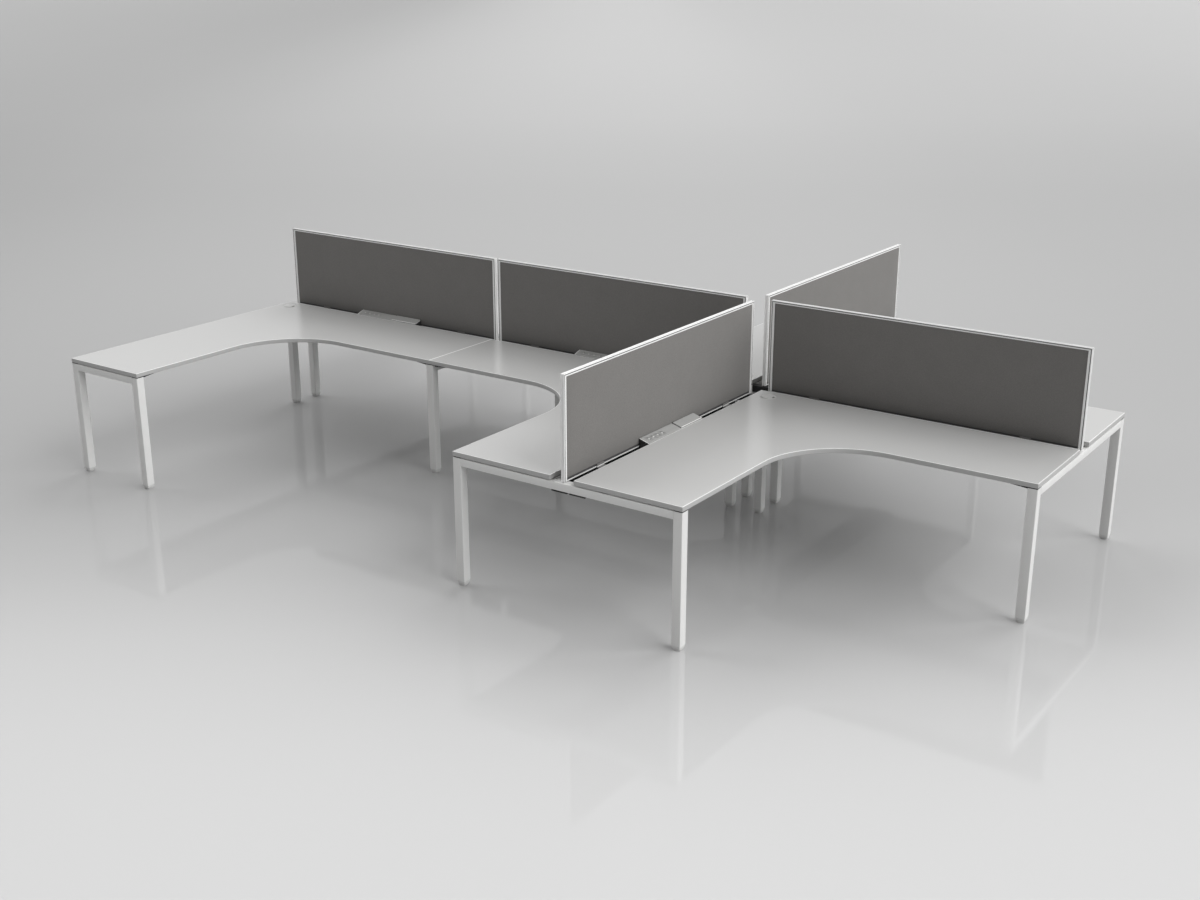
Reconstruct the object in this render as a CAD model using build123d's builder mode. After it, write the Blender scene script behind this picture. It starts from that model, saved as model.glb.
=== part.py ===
from build123d import *
import math
import os

os.makedirs("parts", exist_ok=True)

# Six L-shaped desks stand back to back on a spine of screens, with one cross spine.
# X runs along the spine, Y across it, Z up. The origin is on the floor, in the middle
# of the footprint, and the crossing of the two spines is half a bay to its right.

# Driving sizes of the cluster, in millimetres
bay = 1800.0
worktop_depth = 600.0
worktop_height = 720.0
board_thickness = 25.0
channel = 140.0
curve_radius = 450.0
worktop_joint = 1.0

# Edge banding round each worktop
band_thickness = 2.0

# Cable grommet in the corner of each worktop
grommet_inset = 95.0
grommet_radius = 45.0
grommet_bore = 37.2
sleeve_depth = 22.0
cap_thickness = 3.0
cap_overlap = 2.6
cap_sides = 32
cap_play = 0.3
lug_depth = 6.0
lug_width = 10.0
lug_thickness = 2.5
lug_inset = 0.4
lug_count = 3
lug_step = 90.0
cable_slot_width = 22.0
cable_slot_depth = 16.0

# Legs and levelling feet
leg_size = 50.0
leg_wall = 2.5
leg_plate = 5.0
foot_height = 25.0
foot_play = 0.3
foot_top = 47.0
foot_top_corner = 3.0
foot_base = 40.0
foot_base_corner = 9.0
foot_band = 11.0
stem_radius = 5.0
stem_sides = 6
stem_length = 55.0
stem_clearance = 0.3

# Rails, beams and the space between them and the worktops
worktop_gap = 5.0
rail_height = 40.0
tube_wall = 2.0
beam_width = 40.0

# Brackets and pads between the frame and the worktops
wing_reach = 115.0
wing_root = 40.0
wing_tip = 16.0
web_thickness = 4.0
web_root = 12.0
web_tip = 2.0
pad_width = 30.0
pad_length = 60.0
pad_inset = 2.0
plate_inset = 2.0
rail_pad_shares = (0.3, 0.8)

# Screens
screen_end_gap = 10.0
screen_thickness = 22.0
screen_height = 530.0
frame_face = 20.0
groove_width = 8.0
groove_depth = 3.0
mitre_gap = 0.2
panel_thickness = 18.0
panel_round = 2.0

# Screen shoes
shoe_length = 60.0
shoe_cheek = 4.0
shoe_rise = 17.0
shoe_offset = 600.0

# Cable trays
tray_half_width = 98.0
tray_depth = 30.0
tray_sheet = 1.5
tray_flange = 10.0
ridge_half_width = 7.5
ridge_height = 25.0

# Power units in the channel
unit_length = 515.0
unit_screen_gap = 1.0
unit_worktop_gap = 1.0
unit_rise = 20.0
unit_bottom = 48.0
lip_overhang = 1.0
lip_thickness = 2.0
hook_offset = 200.0
hook_width = 30.0
hook_reach = 26.0
face_edge = 0.8
socket_size = 34.0
socket_depth = 20.0
socket_fit = 0.2
socket_proud = 0.6
socket_pitch = 40.0
socket_first = 47.0
socket_count = 4
slot_long = 7.0
slot_short = 2.0
slot_depth = 8.0
slot_spread = 13.0
slot_count = 2
lid_length = 204.0
lid_thickness = 4.0
lid_play = 0.3
lid_end_play = 0.5
lid_axis_inset = 3.5
lid_setback = 0.8
hinge_pin_radius = 1.2
hinge_pin_length = 1.8
hinge_clearance = 0.3
hinge_sides = 6
ear_thickness = 2.0
ear_radius = 3.0
jack_width = 18.0
jack_height = 20.0
jack_depth = 14.0
jack_sink = 0.2
jack_pitch = 50.0
jack_count = 3
jack_mouth_width = 12.0
jack_mouth_height = 8.0
jack_mouth_depth = 9.0
inlet_length = 40.0
inlet_width = 24.0
inlet_height = 12.0
inlet_mouth = 6.0
inlet_wall = 2.5

# Places that follow from the driving sizes
half_channel = channel / 2
cross_x = bay / 2
x_left = cross_x - half_channel - 2 * bay
x_joint = cross_x - half_channel - bay
x_right = cross_x + half_channel + bay
y_end = half_channel + bay
board_bottom = worktop_height - board_thickness
frame_top = board_bottom - worktop_gap
rail_middle = frame_top - rail_height / 2
rail_bottom = frame_top - rail_height
half_leg = leg_size / 2
leg_bottom = foot_height
inner_leg = half_channel + half_leg
outer_leg = half_channel + worktop_depth - half_leg
end_leg = y_end - half_leg
beam_line = half_channel + beam_width / 2
inner_frame = half_channel + leg_size
screen_length = bay - 2 * screen_end_gap
screen_middle = board_bottom + screen_height / 2

# Each desk: its corner beside the crossing or the left end, the way its main part runs
# along X, the way its return runs along Y, and the length of the main part.
joined_length = bay - worktop_joint / 2
desks = {
    "front_left": (x_left, -half_channel, 1, -1, joined_length),
    "front_middle": (cross_x - half_channel, -half_channel, -1, -1, joined_length),
    "front_right": (cross_x + half_channel, -half_channel, 1, -1, bay),
    "back_left": (x_left, half_channel, 1, 1, joined_length),
    "back_middle": (cross_x - half_channel, half_channel, -1, 1, joined_length),
    "back_right": (cross_x + half_channel, half_channel, 1, 1, bay),
}

# Each leg: its middle on the floor
legs = {
    "left_corner_front": (x_left + half_leg, -inner_leg),
    "left_corner_back": (x_left + half_leg, inner_leg),
    "crossing_front_left": (cross_x - inner_leg, -inner_leg),
    "crossing_front_right": (cross_x + inner_leg, -inner_leg),
    "crossing_back_left": (cross_x - inner_leg, inner_leg),
    "crossing_back_right": (cross_x + inner_leg, inner_leg),
    "left_front_outer": (x_left + half_leg, -end_leg),
    "left_front_inner": (x_left + worktop_depth - half_leg, -end_leg),
    "left_back_outer": (x_left + half_leg, end_leg),
    "left_back_inner": (x_left + worktop_depth - half_leg, end_leg),
    "cross_front_left": (cross_x - outer_leg, -end_leg),
    "cross_front_right": (cross_x + outer_leg, -end_leg),
    "cross_back_left": (cross_x - outer_leg, end_leg),
    "cross_back_right": (cross_x + outer_leg, end_leg),
    "middle_front": (x_joint, -outer_leg),
    "middle_back": (x_joint, outer_leg),
    "right_front": (x_right - half_leg, -outer_leg),
    "right_back": (x_right - half_leg, outer_leg),
}

# Each screen: its middle, and the way it runs
bay_middle = half_channel + bay / 2
screens = {
    "left": ((x_left + bay / 2, 0), Axis.X),
    "middle": ((cross_x - bay_middle, 0), Axis.X),
    "right": ((cross_x + bay_middle, 0), Axis.X),
    "front": ((cross_x, -bay_middle), Axis.Y),
    "back": ((cross_x, bay_middle), Axis.Y),
}

# Each power unit: the middle of its screen, and the way to its user's left
power_units = {
    "front_left": (x_left + bay / 2, 0, (-1, 0, 0)),
    "front_middle": (cross_x - bay_middle, 0, (-1, 0, 0)),
    "front_right": (cross_x, -bay_middle, (0, -1, 0)),
    "back_left": (x_left + bay / 2, 0, (1, 0, 0)),
    "back_middle": (cross_x - bay_middle, 0, (1, 0, 0)),
    "back_right": (cross_x, bay_middle, (0, -1, 0)),
}


def save(piece, name):
    piece.label = name
    export_step(piece, f"parts/{name}.step")


def run_plane(middle, axis, height):
    """A plane whose Z runs along a straight member and whose Y points up."""
    side = (0, 1, 0) if axis == Axis.X else (-1, 0, 0)
    return Plane(origin=(*middle, height), x_dir=side, z_dir=axis.direction)


# Worktops: an L with one large inner curve
def worktop_outline(desk, inset, with_hole):
    corner_x, corner_y, way_x, way_y, length = desk
    depth = worktop_depth - inset
    shape = [
        (inset, inset),
        (length - inset, inset),
        (length - inset, depth),
        (depth, depth),
        (depth, bay - inset),
        (inset, bay - inset),
    ]
    placed = [(corner_x + way_x * u, corner_y + way_y * v) for u, v in shape]
    hole = (corner_x + way_x * grommet_inset, corner_y + way_y * grommet_inset)
    with BuildSketch(Plane.XY.offset(board_bottom)) as outline:
        with BuildLine():
            Polyline(*placed, close=True)
        make_face()
        inner_corner = vertices().sort_by_distance((*placed[3], 0))[0]
        fillet(inner_corner, radius=curve_radius + inset)
        if with_hole:
            with Locations(hole):
                Circle(grommet_radius, mode=Mode.SUBTRACT)
    return outline.sketch


for desk_name, desk in desks.items():
    board_outline = worktop_outline(desk, band_thickness, True)
    with BuildPart() as worktop:
        extrude(board_outline, amount=board_thickness)
    save(worktop.part, f"worktop_{desk_name}")

bands = []
for desk in desks.values():
    outer_outline = worktop_outline(desk, 0, False)
    inner_outline = worktop_outline(desk, band_thickness, False)
    with BuildPart() as band:
        extrude(outer_outline, amount=board_thickness)
        extrude(inner_outline, amount=board_thickness, mode=Mode.SUBTRACT)
    bands.append(band.part)
with BuildPart() as edge_banding:
    add(bands)
save(edge_banding.part, "edge_banding")

# Grommets: a sleeve pressed flush into the board, and a turning cap with a slot for cables.
# The cap's rim has short straight sides, because it comes six times.
grommet_spots = {
    name: (x + way_x * grommet_inset, y + way_y * grommet_inset)
    for name, (x, y, way_x, way_y, length) in desks.items()
}
with BuildPart() as sleeve:
    with BuildSketch(Plane.XY.offset(worktop_height)):
        Circle(grommet_radius)
        Circle(grommet_bore, mode=Mode.SUBTRACT)
    extrude(amount=-sleeve_depth)
with BuildPart() as grommet_sleeves:
    with Locations(*grommet_spots.values()):
        add(sleeve.part)
save(grommet_sleeves.part, "grommet_sleeves")

cap_bottom = worktop_height + cap_play
cap_radius = grommet_bore + cap_overlap
lug_middle = grommet_bore - cap_play - lug_inset - lug_thickness / 2
with BuildPart() as cap:
    with BuildSketch(Plane.XY.offset(cap_bottom)):
        RegularPolygon(cap_radius, cap_sides)
        with Locations((cap_radius, 0)):
            Rectangle(2 * cable_slot_depth, cable_slot_width, mode=Mode.SUBTRACT)
    extrude(amount=cap_thickness)
    with BuildSketch(Plane.XY.offset(cap_bottom)):
        with PolarLocations(lug_middle, lug_count, lug_step, lug_step * (lug_count - 1), endpoint=True):
            Rectangle(lug_thickness, lug_width)
    extrude(amount=-lug_depth)
for desk_name, spot in grommet_spots.items():
    with BuildPart() as grommet_cap:
        with Locations(spot):
            add(cap.part)
    save(grommet_cap.part, f"grommet_cap_{desk_name}")

# Legs: square tube with a tapped plate in the foot end
with BuildPart() as leg:
    with BuildSketch(Plane.XY.offset(leg_bottom)):
        Rectangle(leg_size, leg_size)
        Rectangle(leg_size - 2 * leg_wall, leg_size - 2 * leg_wall, mode=Mode.SUBTRACT)
    extrude(amount=frame_top - leg_bottom)
    with BuildSketch(Plane.XY.offset(leg_bottom)):
        Rectangle(leg_size - leg_wall, leg_size - leg_wall)
        RegularPolygon(stem_radius + stem_clearance, stem_sides, mode=Mode.SUBTRACT)
    extrude(amount=leg_plate)
with BuildPart() as leg_tubes:
    with Locations(*legs.values()):
        add(leg.part)
save(leg_tubes.part, "leg_tubes")

# Levelling feet: a square that narrows to an eight-sided base, on a stem with few sides,
# because the stem is small, stands inside the leg and comes eighteen times
foot_body = foot_height - foot_play
foot_diagonal = (foot_top - foot_top_corner) * math.sqrt(2)
foot_base_diagonal = (foot_base - foot_base_corner) * math.sqrt(2)


def narrowed_block(top, base, turn):
    """A square block whose sides slope in under a short upright band."""
    with BuildPart() as block:
        with BuildSketch():
            Rectangle(top, top, rotation=turn)
        extrude(amount=foot_body)
        floor_face = faces().sort_by(Axis.Z)[0]
        chamfer(
            floor_face.edges(),
            length=(top - base) / 2,
            length2=foot_body - foot_band,
            reference=floor_face,
        )
    return block.part


with BuildPart() as foot:
    add(narrowed_block(foot_top, foot_base, 0))
    add(narrowed_block(foot_diagonal, foot_base_diagonal, 45), mode=Mode.INTERSECT)
    with BuildSketch(Plane.XY.offset(foot_body)):
        RegularPolygon(stem_radius, stem_sides)
    extrude(amount=stem_length)
for leg_name, spot in legs.items():
    with BuildPart() as levelling_foot:
        with Locations(spot):
            add(foot.part)
    save(levelling_foot.part, f"foot_{leg_name}")


# Rails: tubes that close each end frame and link the corner legs across the channel
def tube(middle, axis, length, width, wall):
    with BuildPart() as member:
        with BuildSketch(run_plane(middle, axis, rail_middle)):
            Rectangle(width, rail_height)
            Rectangle(width - 2 * wall, rail_height - 2 * wall, mode=Mode.SUBTRACT)
        extrude(amount=length / 2, both=True)
    return member.part


left_rail = x_left + worktop_depth / 2
left_span = worktop_depth - 2 * leg_size
wide_span = 2 * (outer_leg - half_leg)
end_rails = [
    ((left_rail, -end_leg), Axis.X, left_span),
    ((left_rail, end_leg), Axis.X, left_span),
    ((cross_x, -end_leg), Axis.X, wide_span),
    ((cross_x, end_leg), Axis.X, wide_span),
    ((x_joint, 0), Axis.Y, wide_span),
    ((x_right - half_leg, 0), Axis.Y, wide_span),
]
links = [
    ((x_left + half_leg, 0), Axis.Y),
    ((cross_x - inner_leg, 0), Axis.Y),
    ((cross_x + inner_leg, 0), Axis.Y),
    ((cross_x, -inner_leg), Axis.X),
    ((cross_x, inner_leg), Axis.X),
]
rail_tubes = [tube(middle, axis, span, leg_size, tube_wall) for middle, axis, span in end_rails]
rail_tubes += [tube(middle, axis, channel, beam_width, tube_wall) for middle, axis in links]
with BuildPart() as frame_rails:
    add(rail_tubes)
save(frame_rails.part, "frame_rails")


# Beams: one along the main part and one along the return of each desk
def span_between(first, last):
    return (first + last) / 2, last - first


crossing_left = cross_x - inner_frame
crossing_right = cross_x + inner_frame
left_bay = span_between(x_left + leg_size, x_joint - half_leg)
middle_bay = span_between(x_joint + half_leg, crossing_left)
right_bay = span_between(crossing_right, x_right - leg_size)
return_bay = span_between(inner_frame, y_end - leg_size)
return_lines = (x_left + beam_width / 2, cross_x - beam_line, cross_x + beam_line)
beams = []
for side in (-1, 1):
    for middle, length in (left_bay, middle_bay, right_bay):
        beams.append(((middle, side * beam_line), Axis.X, length))
    for line in return_lines:
        beams.append(((line, side * return_bay[0]), Axis.Y, return_bay[1]))
with BuildPart() as desk_beams:
    add([tube(middle, axis, length, beam_width, tube_wall) for middle, axis, length in beams])
save(desk_beams.part, "desk_beams")

# Wing brackets: a plate on the leg with a tapered, ribbed arm under the worktop
half_plate = half_leg - plate_inset
with BuildPart() as wing:
    with BuildSketch(Plane.XY.offset(frame_top)):
        Rectangle(2 * half_plate, 2 * half_plate)
        with BuildLine():
            Polyline(
                (0, wing_root / 2),
                (half_leg + wing_reach, wing_tip / 2),
                (half_leg + wing_reach, -wing_tip / 2),
                (0, -wing_root / 2),
                close=True,
            )
        make_face()
    extrude(amount=worktop_gap)
    with BuildSketch(Plane.XZ):
        with BuildLine():
            Polyline(
                (half_leg, frame_top),
                (half_leg + wing_reach, frame_top),
                (half_leg + wing_reach, frame_top - web_tip),
                (half_leg, frame_top - web_root),
                close=True,
            )
        make_face()
    extrude(amount=web_thickness / 2, both=True)
wing_turns = {
    "left_front_inner": (90,),
    "left_back_inner": (-90,),
    "cross_front_left": (90,),
    "cross_front_right": (90,),
    "cross_back_left": (-90,),
    "cross_back_right": (-90,),
    "middle_front": (0, 180),
    "middle_back": (0, 180),
    "right_front": (180,),
    "right_back": (180,),
}
wing_places = [
    Location((*legs[name], 0), (0, 0, turn)) for name, turns in wing_turns.items() for turn in turns
]
with BuildPart() as wing_brackets:
    with Locations(*wing_places):
        add(wing.part)
save(wing_brackets.part, "wing_brackets")

# Pads: they fill the gap between the frame and the worktops
corner_pads = [spot for name, spot in legs.items() if name not in wing_turns]
with BuildPart() as rail_pads:
    with BuildSketch(Plane.XY.offset(frame_top)):
        with Locations(*corner_pads):
            Rectangle(2 * half_plate, 2 * half_plate)
        for (x, y), axis, length in beams:
            reach = axis.direction * (length / 2 - pad_length / 2 - pad_inset)
            along = (pad_length, pad_width) if axis == Axis.X else (pad_width, pad_length)
            with Locations(*[(x + way * reach.X, y + way * reach.Y) for way in (-1, 0, 1)]):
                Rectangle(*along)
        for side in (-1, 1):
            for share in rail_pad_shares:
                out = side * (half_channel + share * (worktop_depth - leg_size))
                with Locations((x_joint, out), (x_right - half_leg, out)):
                    Rectangle(pad_width, pad_length)
                with Locations((cross_x + out, -end_leg), (cross_x + out, end_leg)):
                    Rectangle(pad_length, pad_width)
        with Locations((left_rail, -end_leg), (left_rail, end_leg)):
            Rectangle(pad_length, pad_width)
    extrude(amount=worktop_gap)
save(rail_pads.part, "rail_pads")

# Cable trays: a folded sheet with two ways and a ridge between them, hung under the beams
tray_bottom = rail_bottom - tray_depth
ridge_top = tray_bottom + ridge_height
ridge_outer = ridge_half_width + tray_sheet
tray_right = [
    (ridge_outer, ridge_top),
    (ridge_outer, tray_bottom + tray_sheet),
    (tray_half_width - tray_sheet, tray_bottom + tray_sheet),
    (tray_half_width - tray_sheet, rail_bottom),
    (tray_half_width + tray_flange, rail_bottom),
    (tray_half_width + tray_flange, rail_bottom - tray_sheet),
    (tray_half_width, rail_bottom - tray_sheet),
    (tray_half_width, tray_bottom),
    (ridge_half_width, tray_bottom),
    (ridge_half_width, ridge_top - tray_sheet),
]
tray_left = [(-across, height) for across, height in reversed(tray_right)]


def tray(middle, axis, length):
    with BuildPart() as sheet:
        with BuildSketch(run_plane(middle, axis, 0)):
            with BuildLine():
                Polyline(*tray_right, *tray_left, close=True)
            make_face()
        extrude(amount=length / 2, both=True)
    return sheet.part


trays = [tray((middle, 0), Axis.X, length) for middle, length in (left_bay, middle_bay, right_bay)]
trays += [tray((cross_x, side * return_bay[0]), Axis.Y, return_bay[1]) for side in (-1, 1)]
with BuildPart() as cable_trays:
    add(trays)
save(cable_trays.part, "cable_trays")


# Screens: four mitred lengths of grooved section round a covered board
def frame_length(plane, length):
    """One mitred length of section, with its outer edge on the plane's X axis."""
    half = length / 2 - mitre_gap
    with BuildPart() as section:
        with BuildSketch(plane):
            with BuildLine():
                Polyline(
                    (-half, 0),
                    (half, 0),
                    (half - frame_face, frame_face),
                    (frame_face - half, frame_face),
                    close=True,
                )
            make_face()
        extrude(amount=screen_thickness / 2, both=True)
        with BuildSketch(plane):
            with Locations((0, groove_depth / 2)):
                Rectangle(length, groove_depth)
        extrude(amount=groove_width / 2, both=True, mode=Mode.SUBTRACT)
    return section.part


for screen_name, (middle, axis) in screens.items():
    along = axis.direction
    half_run = screen_length / 2
    low = Vector(*middle, board_bottom)
    high = Vector(*middle, board_bottom + screen_height)
    centre = Vector(*middle, screen_middle)
    face_way = along.cross(Vector(0, 0, 1))
    members = [
        frame_length(Plane(origin=low, x_dir=along, z_dir=face_way), screen_length),
        frame_length(Plane(origin=high, x_dir=-along, z_dir=face_way), screen_length),
        frame_length(
            Plane(origin=centre + along * half_run, x_dir=(0, 0, 1), z_dir=face_way), screen_height
        ),
        frame_length(
            Plane(origin=centre - along * half_run, x_dir=(0, 0, -1), z_dir=face_way), screen_height
        ),
    ]
    with BuildPart() as screen_frame:
        add(members)
    save(screen_frame.part, f"screen_frame_{screen_name}")

    with BuildPart() as screen_panel:
        with BuildSketch(Plane(origin=centre, x_dir=along, z_dir=face_way)):
            Rectangle(screen_length - 2 * frame_face, screen_height - 2 * frame_face)
        extrude(amount=panel_thickness / 2, both=True)
        faces_out = faces().sort_by(Axis(tuple(centre), tuple(face_way)))
        chamfer(faces_out[0].edges() + faces_out[-1].edges(), length=panel_round)
    save(screen_panel.part, f"screen_panel_{screen_name}")

# Screen shoes: a strap across the beams with two cheeks that hold the screen
cheek_middle = screen_thickness / 2 + shoe_cheek / 2
shoes = []
for middle, axis in screens.values():
    for side in (-1, 1):
        spot = Vector(*middle) + axis.direction * (side * shoe_offset)
        plane = run_plane((spot.X, spot.Y), axis, board_bottom)
        with BuildPart() as shoe:
            with BuildSketch(plane):
                with Locations((0, -worktop_gap / 2)):
                    Rectangle(2 * (half_channel + beam_width), worktop_gap)
                with Locations((-cheek_middle, shoe_rise / 2), (cheek_middle, shoe_rise / 2)):
                    Rectangle(shoe_cheek, shoe_rise)
            extrude(amount=shoe_length / 2, both=True)
        shoes.append(shoe.part)
with BuildPart() as screen_shoes:
    add(shoes)
save(screen_shoes.part, "screen_shoes")

# Power units, built with X to the user's left and Y towards the user, from the screen.
# The lid's barrel, pins and ears have few sides, because they are small and come six times.
unit_back = screen_thickness / 2 + unit_screen_gap
unit_front = half_channel - unit_worktop_gap
unit_lip = half_channel + lip_overhang
unit_top = worktop_height + unit_rise
lip_top = worktop_height + lip_thickness
slope = math.atan2(unit_top - lip_top, unit_lip - unit_back)
face_middle = (unit_back + unit_front) / 2
hook_run = unit_front + hook_reach - unit_back
hook_middle = unit_back + hook_run / 2
half_unit = unit_length / 2
slope_out = (0, math.sin(slope), math.cos(slope))


def face_height(y):
    return unit_top - (y - unit_back) * math.tan(slope)


def face_plane(x, y, rise):
    """A plane on the sloping face, with its X along the unit, raised by some height."""
    lift = Vector(*slope_out) * rise
    return Plane(origin=Vector(x, y, face_height(y)) + lift, x_dir=(1, 0, 0), z_dir=slope_out)


socket_places = [half_unit - socket_first - step * socket_pitch for step in range(socket_count)]
lid_end = -half_unit + ear_thickness + lid_end_play
lid_middle = lid_end + lid_length / 2
jack_places = [
    lid_middle + (step - (jack_count - 1) / 2) * jack_pitch for step in range(jack_count)
]
lid_axis_y = unit_back + lid_axis_inset
lid_axis_rise = lid_thickness / 2 + lid_play
lid_axis = face_plane(0, lid_axis_y, lid_axis_rise).origin
ear_places = (
    -half_unit + ear_thickness / 2,
    lid_end + lid_length + lid_end_play + ear_thickness / 2,
)

with BuildPart() as housing:
    with BuildSketch(Plane.YZ):
        with BuildLine():
            Polyline(
                (unit_back, unit_top),
                (unit_lip, lip_top),
                (unit_lip, worktop_height),
                (unit_front, worktop_height),
                (unit_front, worktop_height - unit_bottom),
                (unit_back, worktop_height - unit_bottom),
                close=True,
            )
        make_face()
    extrude(amount=half_unit, both=True)
    chamfer(edges().filter_by(Axis.X).group_by(Axis.Z)[-1], length=face_edge)
    with BuildSketch(Plane.XY.offset(frame_top)):
        with Locations((-hook_offset, hook_middle), (hook_offset, hook_middle)):
            Rectangle(hook_width, hook_run)
    extrude(amount=worktop_gap)
    with BuildSketch(*[face_plane(x, face_middle, 0) for x in socket_places]):
        Rectangle(socket_size, socket_size)
    extrude(amount=-socket_depth, mode=Mode.SUBTRACT)
    with BuildSketch(*[face_plane(x, face_middle, 0) for x in jack_places]):
        Rectangle(jack_width, jack_height)
    extrude(amount=-jack_depth, mode=Mode.SUBTRACT)
    for x in ear_places:
        with BuildSketch(Plane.YZ.offset(x)):
            with Locations((lid_axis.Y, lid_axis.Z)):
                RegularPolygon(ear_radius, hinge_sides)
        extrude(amount=ear_thickness / 2, both=True)
        with BuildSketch(Plane.YZ.offset(x)):
            with Locations((lid_axis.Y, lid_axis.Z)):
                RegularPolygon(hinge_pin_radius + hinge_clearance, hinge_sides)
        extrude(amount=ear_thickness / 2, both=True, mode=Mode.SUBTRACT)

with BuildPart() as lid:
    with BuildSketch(Plane.YZ.offset(lid_middle)):
        plate_corners = [
            face_plane(0, y, rise).origin
            for y, rise in (
                (lid_axis_y, lid_play),
                (unit_lip - lid_setback, lid_play),
                (unit_lip - lid_setback, lid_play + lid_thickness),
                (lid_axis_y, lid_play + lid_thickness),
            )
        ]
        with BuildLine():
            Polyline(*[(corner.Y, corner.Z) for corner in plate_corners], close=True)
        make_face()
        with Locations((lid_axis.Y, lid_axis.Z)):
            RegularPolygon(lid_thickness / 2, hinge_sides)
    extrude(amount=lid_length / 2, both=True)
    for way in (-1, 1):
        with BuildSketch(Plane.YZ.offset(lid_middle + way * lid_length / 2)):
            with Locations((lid_axis.Y, lid_axis.Z)):
                RegularPolygon(hinge_pin_radius, hinge_sides)
        extrude(amount=way * (lid_end_play + hinge_pin_length))

with BuildPart() as socket:
    with BuildSketch(face_plane(0, face_middle, socket_fit - socket_depth)):
        Rectangle(socket_size - 2 * socket_fit, socket_size - 2 * socket_fit)
    extrude(amount=socket_depth - socket_fit + socket_proud)
    with BuildSketch(face_plane(0, face_middle, socket_proud)):
        with GridLocations(slot_spread, 0, slot_count, 1):
            Rectangle(slot_short, slot_long)
    extrude(amount=-slot_depth, mode=Mode.SUBTRACT)

with BuildPart() as jack:
    with BuildSketch(face_plane(0, face_middle, socket_fit - jack_depth)):
        Rectangle(jack_width - 2 * socket_fit, jack_height - 2 * socket_fit)
    extrude(amount=jack_depth - socket_fit - jack_sink)
    with BuildSketch(face_plane(0, face_middle, -jack_sink)):
        Rectangle(jack_mouth_width, jack_mouth_height)
    extrude(amount=-jack_mouth_depth, mode=Mode.SUBTRACT)

with BuildPart() as inlet:
    with BuildSketch(Plane.XY.offset(worktop_height - unit_bottom)):
        with Locations((0, face_middle)):
            Rectangle(inlet_length, inlet_width)
    extrude(amount=-inlet_height)
    with BuildSketch(Plane.XY.offset(worktop_height - unit_bottom - inlet_height)):
        with Locations((0, face_middle)):
            Rectangle(inlet_length - 2 * inlet_wall, inlet_width - 2 * inlet_wall)
    extrude(amount=inlet_mouth, mode=Mode.SUBTRACT)

unit_places = {
    name: Plane(origin=(x, y, 0), x_dir=left_hand, z_dir=(0, 0, 1)).location
    for name, (x, y, left_hand) in power_units.items()
}
for desk_name, place in unit_places.items():
    with BuildPart() as power_lid:
        with Locations(place):
            add(lid.part)
    save(power_lid.part, f"power_lid_{desk_name}")


def in_every_unit(piece, offsets, name):
    """One node that holds a copy of the piece at each offset along every power unit."""
    with BuildPart() as group:
        with Locations(*[p * Location((x, 0, 0)) for p in unit_places.values() for x in offsets]):
            add(piece)
    save(group.part, name)


in_every_unit(housing.part, [0], "power_housings")
in_every_unit(socket.part, socket_places, "power_sockets")
in_every_unit(jack.part, jack_places, "data_jacks")
in_every_unit(inlet.part, [lid_middle], "power_inlets")
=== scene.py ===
import math

import bmesh
import bpy
from mathutils import Matrix, Vector


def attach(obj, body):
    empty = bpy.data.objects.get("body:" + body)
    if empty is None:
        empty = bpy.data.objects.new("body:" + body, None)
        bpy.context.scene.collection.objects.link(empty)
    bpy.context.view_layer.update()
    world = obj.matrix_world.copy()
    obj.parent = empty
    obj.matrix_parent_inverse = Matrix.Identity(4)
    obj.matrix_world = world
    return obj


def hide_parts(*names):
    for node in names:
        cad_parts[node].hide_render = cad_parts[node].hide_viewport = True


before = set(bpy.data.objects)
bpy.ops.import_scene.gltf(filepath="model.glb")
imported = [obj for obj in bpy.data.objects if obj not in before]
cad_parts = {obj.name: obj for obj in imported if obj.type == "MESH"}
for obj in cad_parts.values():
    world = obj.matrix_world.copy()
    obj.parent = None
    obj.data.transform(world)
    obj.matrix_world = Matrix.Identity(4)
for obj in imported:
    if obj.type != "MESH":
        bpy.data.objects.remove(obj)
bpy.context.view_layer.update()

# Places
# Pieces are modelled in millimetres in the shared frame: X along the spine, Y across it, Z up.

desk_body = "desk_cluster"
half_channel = 70.0
board_low = 695.0
board_top = 720.0
frame_top = 690.0
rail_middle = 670.0
leg_size = 50.0
desk_depth = 600
return_length = 1800
curve_radius = 450
curve_middle = desk_depth + curve_radius

legs = {
    "left_corner_front": (-2745, -95),
    "left_corner_back": (-2745, 95),
    "crossing_front_left": (805, -95),
    "crossing_front_right": (995, -95),
    "crossing_back_left": (805, 95),
    "crossing_back_right": (995, 95),
    "left_front_outer": (-2745, -1845),
    "left_front_inner": (-2195, -1845),
    "left_back_outer": (-2745, 1845),
    "left_back_inner": (-2195, 1845),
    "cross_front_left": (255, -1845),
    "cross_front_right": (1545, -1845),
    "cross_back_left": (255, 1845),
    "cross_back_right": (1545, 1845),
    "middle_front": (-970, -645),
    "middle_back": (-970, 645),
    "right_front": (2745, -645),
    "right_back": (2745, 645),
}
# Which ways the wings of a leg point, as turns round it
wing_turns = {
    "left_front_inner": (90,),
    "left_back_inner": (-90,),
    "cross_front_left": (90,),
    "cross_front_right": (90,),
    "cross_back_left": (-90,),
    "cross_back_right": (-90,),
    "middle_front": (0, 180),
    "middle_back": (0, 180),
    "right_front": (180,),
    "right_back": (180,),
}
# Each desk: its inner corner, the ways its main part and its return run, and its length
desks = {
    "front_left": (-2770, -70, 1, -1, 1799.5),
    "front_middle": (830, -70, -1, -1, 1799.5),
    "front_right": (970, -70, 1, -1, 1800),
    "back_left": (-2770, 70, 1, 1, 1799.5),
    "back_middle": (830, 70, -1, 1, 1799.5),
    "back_right": (970, 70, 1, 1, 1800),
}
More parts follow.
